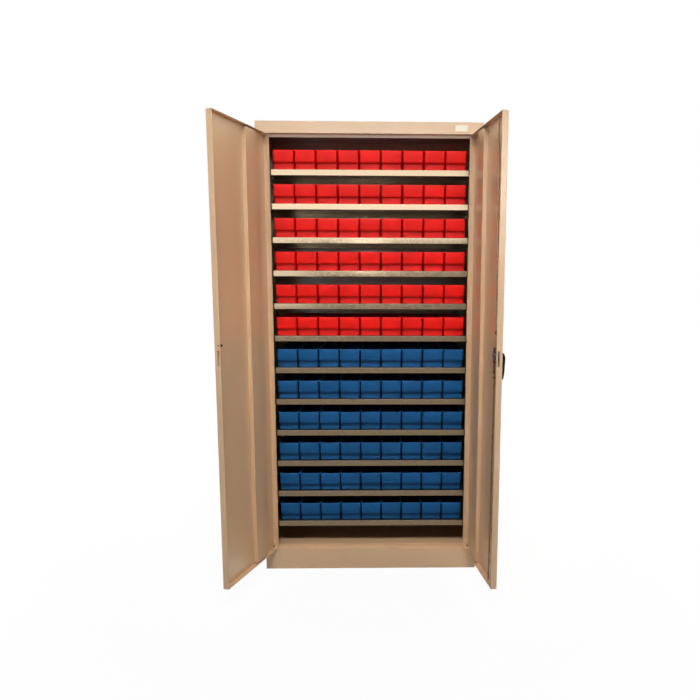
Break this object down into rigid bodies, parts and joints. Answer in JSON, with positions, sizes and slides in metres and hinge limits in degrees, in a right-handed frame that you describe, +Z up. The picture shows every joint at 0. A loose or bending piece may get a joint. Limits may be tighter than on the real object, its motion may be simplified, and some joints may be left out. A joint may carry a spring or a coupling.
{
  "type": "tray storage cupboard",
  "caption": "Two-door sheet steel cupboard with galvanised shelves, each holding a row of small open plastic trays, and a turning-handle lock with two rods.",
  "frame": {"origin": "on the floor, at the middle of the base frame's footprint", "axes": "+Z up, +X to the right as seen from the front, +Y to the back, so that the doors open towards -Y"},
  "size_m": [1.0964, 0.8789, 1.95],
  "materials": {
    "cabinet_paint": "satin beige powder coat",
    "door_paint": "satin beige powder coat",
    "zinc": "galvanised sheet",
    "bright_steel": "zinc plated",
    "lock_grey": "dark grey",
    "handle_black": "black, slightly shiny",
    "rubber": "black rubber",
    "tray_red": "moulded polypropylene",
    "tray_blue": "moulded polypropylene"
  },
  "bodies": {
    "carcass": {"left_side_panel": "cabinet_paint", "right_side_panel": "cabinet_paint", "top_panel": "cabinet_paint", "back_panel": "cabinet_paint", "floor_panel": "cabinet_paint", "base_frame": "cabinet_paint", "shelf_uprights": "zinc", "shelf_clips": "zinc", "shelf_01": "zinc", "shelf_02": "zinc", "shelf_03": "zinc", "shelf_04": "zinc", "shelf_05": "zinc", "shelf_06": "zinc", "shelf_07": "zinc", "shelf_08": "zinc", "shelf_09": "zinc", "shelf_10": "zinc", "shelf_11": "zinc", "shelf_12": "zinc", "hinge_pins": "bright_steel"},
    "left_door": {"left_door_panel": "door_paint", "left_door_stiffener": "door_paint", "left_hinge_plates": "door_paint", "left_door_buffer": "rubber"},
    "right_door": {"right_door_panel": "door_paint", "right_door_stiffener": "door_paint", "right_hinge_plates": "door_paint", "lock_case": "lock_grey", "rod_guides": "bright_steel", "handle_rose": "handle_black"},
    "handle": {"door_handle": "handle_black", "lock_pinion": "bright_steel", "lock_tongue": "bright_steel", "tongue_nut": "bright_steel"},
    "key_cylinder": {"lock_cylinder": "bright_steel"},
    "upper_rod": {"upper_lock_rod": "bright_steel", "upper_rod_screw": "bright_steel"},
    "lower_rod": {"lower_lock_rod": "bright_steel", "lower_rod_screw": "bright_steel"},
    "trays_01": {"tray_row_01": "tray_red"},
    "trays_02": {"tray_row_02": "tray_red"},
    "trays_03": {"tray_row_03": "tray_red"},
    "trays_04": {"tray_row_04": "tray_red"},
    "trays_05": {"tray_row_05": "tray_red"},
    "trays_07": {"tray_row_07": "tray_blue"},
    "trays_08": {"tray_row_08": "tray_blue"},
    "trays_09": {"tray_row_09": "tray_blue"},
    "trays_10": {"tray_row_10": "tray_blue"},
    "trays_11": {"tray_row_11": "tray_blue"},
    "trays_12": {"tray_row_12": "tray_blue"},
    "tray_06_1": {"tray_06_1": "tray_red"},
    "tray_06_2": {"tray_06_2": "tray_red"},
    "tray_06_3": {"tray_06_3": "tray_red"},
    "tray_06_4": {"tray_06_4": "tray_red"},
    "tray_06_5": {"tray_06_5": "tray_red"},
    "tray_06_6": {"tray_06_6": "tray_red"},
    "tray_06_7": {"tray_06_7": "tray_red"},
    "tray_06_8": {"tray_06_8": "tray_red"},
    "tray_06_9": {"tray_06_9": "tray_red"}
  },
  "joints": [
    {"name": "left_door_hinge", "type": "hinge", "parent": "carcass", "child": "left_door", "pos_m": [-0.4385, -0.2185, 0.9965], "axis": [0, 0, -1], "range_deg": [-107, 8]},
    {"name": "right_door_hinge", "type": "hinge", "parent": "carcass", "child": "right_door", "pos_m": [0.4385, -0.2185, 0.9965], "axis": [0, 0, 1], "range_deg": [-97.7, 17.3]},
    {"name": "handle_turn", "type": "hinge", "parent": "right_door", "child": "handle", "pos_m": [0.49519, -0.58925, 1.015], "axis": [-0.991, -0.134, 0], "range_deg": [0, 90]},
    {"name": "key_turn", "type": "hinge", "parent": "handle", "child": "key_cylinder", "pos_m": [0.51501, -0.58657, 1.015], "axis": [-0.991, -0.134, 0], "range_deg": [0, 90]},
    {"name": "upper_rod_slide", "type": "slide", "parent": "right_door", "child": "upper_rod", "axis": [0, 0, 1], "range_m": [0, 0.01885]},
    {"name": "lower_rod_slide", "type": "slide", "parent": "right_door", "child": "lower_rod", "axis": [0, 0, -1], "range_m": [0, 0.01885]},
    {"name": "trays_01_slide", "type": "slide", "parent": "carcass", "child": "trays_01", "axis": [0, -1, 0], "range_m": [0, 0.3]},
    {"name": "trays_02_slide", "type": "slide", "parent": "carcass", "child": "trays_02", "axis": [0, -1, 0], "range_m": [0, 0.3]},
    {"name": "trays_03_slide", "type": "slide", "parent": "carcass", "child": "trays_03", "axis": [0, -1, 0], "range_m": [0, 0.3]},
    {"name": "trays_04_slide", "type": "slide", "parent": "carcass", "child": "trays_04", "axis": [0, -1, 0], "range_m": [0, 0.3]},
    {"name": "trays_05_slide", "type": "slide", "parent": "carcass", "child": "trays_05", "axis": [0, -1, 0], "range_m": [0, 0.3]},
    {"name": "trays_07_slide", "type": "slide", "parent": "carcass", "child": "trays_07", "axis": [0, -1, 0], "range_m": [0, 0.3]},
    {"name": "trays_08_slide", "type": "slide", "parent": "carcass", "child": "trays_08", "axis": [0, -1, 0], "range_m": [0, 0.3]},
    {"name": "trays_09_slide", "type": "slide", "parent": "carcass", "child": "trays_09", "axis": [0, -1, 0], "range_m": [0, 0.3]},
    {"name": "trays_10_slide", "type": "slide", "parent": "carcass", "child": "trays_10", "axis": [0, -1, 0], "range_m": [0, 0.3]},
    {"name": "trays_11_slide", "type": "slide", "parent": "carcass", "child": "trays_11", "axis": [0, -1, 0], "range_m": [0, 0.3]},
    {"name": "trays_12_slide", "type": "slide", "parent": "carcass", "child": "trays_12", "axis": [0, -1, 0], "range_m": [0, 0.3]},
    {"name": "tray_06_1_slide", "type": "slide", "parent": "carcass", "child": "tray_06_1", "axis": [0, -1, 0], "range_m": [0, 0.3]},
    {"name": "tray_06_2_slide", "type": "slide", "parent": "carcass", "child": "tray_06_2", "axis": [0, -1, 0], "range_m": [0, 0.3]},
    {"name": "tray_06_3_slide", "type": "slide", "parent": "carcass", "child": "tray_06_3", "axis": [0, -1, 0], "range_m": [0, 0.3]},
    {"name": "tray_06_4_slide", "type": "slide", "parent": "carcass", "child": "tray_06_4", "axis": [0, -1, 0], "range_m": [0, 0.3]},
    {"name": "tray_06_5_slide", "type": "slide", "parent": "carcass", "child": "tray_06_5", "axis": [0, -1, 0], "range_m": [0, 0.3]},
    {"name": "tray_06_6_slide", "type": "slide", "parent": "carcass", "child": "tray_06_6", "axis": [0, -1, 0], "range_m": [0, 0.3]},
    {"name": "tray_06_7_slide", "type": "slide", "parent": "carcass", "child": "tray_06_7", "axis": [0, -1, 0], "range_m": [0, 0.3]},
    {"name": "tray_06_8_slide", "type": "slide", "parent": "carcass", "child": "tray_06_8", "axis": [0, -1, 0], "range_m": [0, 0.3]},
    {"name": "tray_06_9_slide", "type": "slide", "parent": "carcass", "child": "tray_06_9", "axis": [0, -1, 0], "range_m": [0, 0.3]}
  ],
  "couplings": [
    {"joint": "upper_rod_slide", "follows": "handle_turn", "m_per_rad": 0.012},
    {"joint": "lower_rod_slide", "follows": "handle_turn", "m_per_rad": 0.012}
  ]
}
